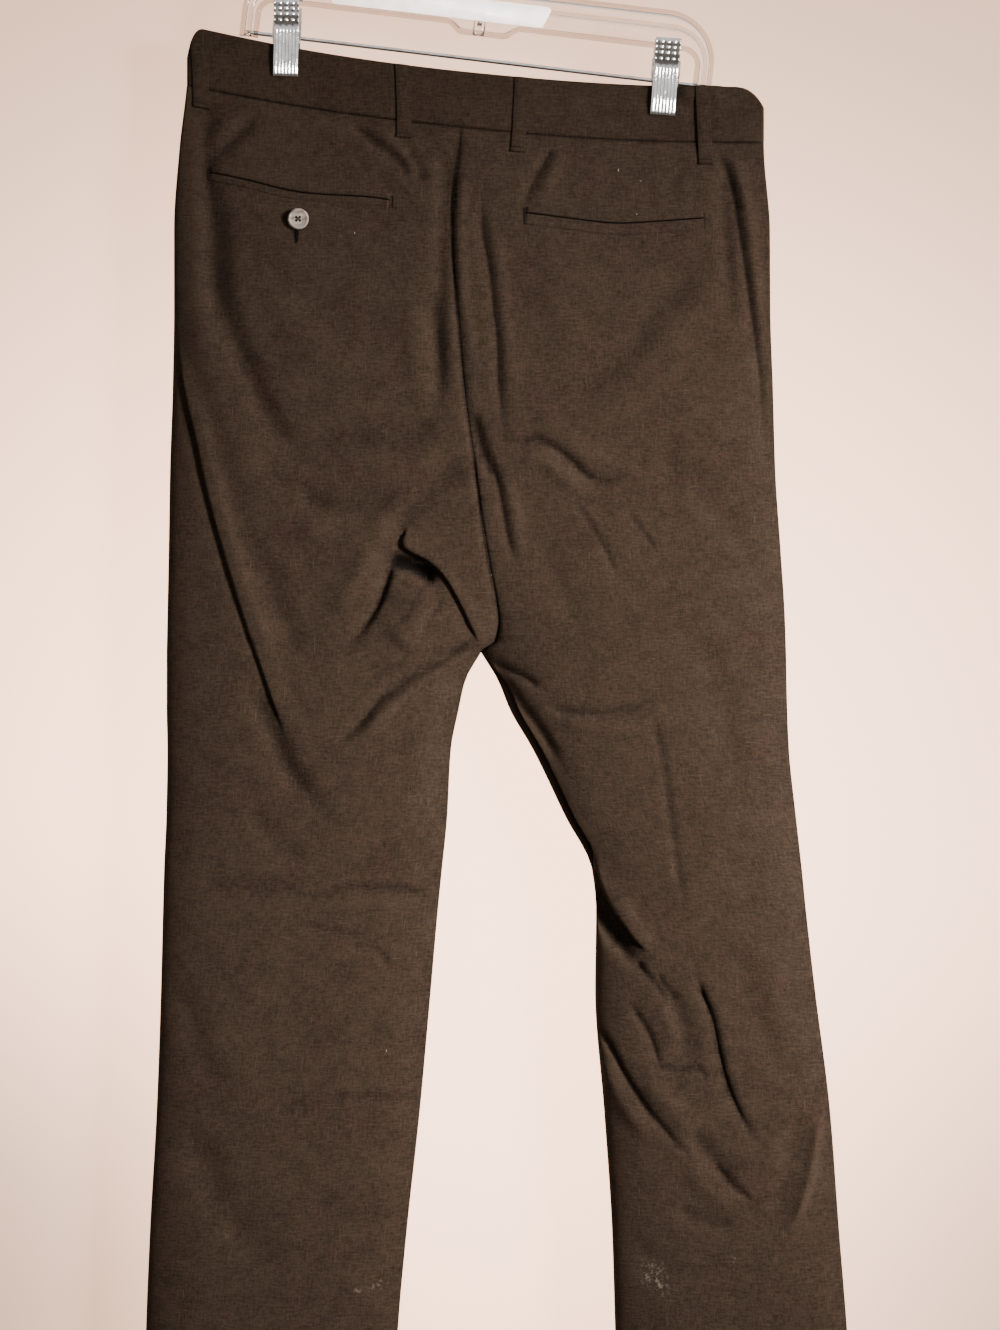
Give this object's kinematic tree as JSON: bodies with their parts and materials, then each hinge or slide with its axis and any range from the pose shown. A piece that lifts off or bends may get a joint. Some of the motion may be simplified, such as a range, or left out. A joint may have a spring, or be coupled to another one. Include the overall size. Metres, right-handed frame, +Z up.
{
  "type": "linen trousers on a clip hanger",
  "caption": "Straight-leg linen trousers hung by the waistband from a clear clip hanger, with belt loops, slit back pockets, a pocket button and soft creases.",
  "frame": {"origin": "where a rod touches the top of the hanger's hook, on its inner side", "axes": "+Z up. The back of the trousers faces -Y. +X is to the right of someone who looks at the back, which is the wearer's right side."},
  "size_m": [0.545, 0.0471, 1.3703],
  "materials": {
    "linen": "dark olive-brown linen in a plain weave, with pale slubs",
    "button": "dull grey-brown, like horn",
    "clear_plastic": "clear moulded plastic, a little milky",
    "plated_steel": "bright plated steel"
  },
  "bodies": {
    "root": {"back_panel_left": "linen", "back_panel_right": "linen", "front_panel_left": "linen", "front_panel_right": "linen", "waistband_back": "linen", "waistband_front_left": "linen", "waistband_front_right": "linen", "belt_loop_side_left": "linen", "belt_loop_back_left": "linen", "belt_loop_back_right": "linen", "belt_loop_side_right": "linen", "belt_loop_front_left": "linen", "belt_loop_front_right": "linen", "back_pocket_left_upper_lip": "linen", "back_pocket_left_lower_lip": "linen", "back_pocket_right_upper_lip": "linen", "back_pocket_right_lower_lip": "linen", "front_pocket_edge_left": "linen", "front_pocket_edge_right": "linen", "back_pocket_button": "button", "waist_button": "button", "hanger_frame": "clear_plastic", "hanger_rod": "plated_steel", "hanger_hook": "plated_steel", "clip_left_back": "plated_steel", "clip_left_front": "plated_steel", "clip_left_spring": "plated_steel", "clip_right_back": "plated_steel", "clip_right_front": "plated_steel", "clip_right_spring": "plated_steel"}
  },
  "joints": []
}
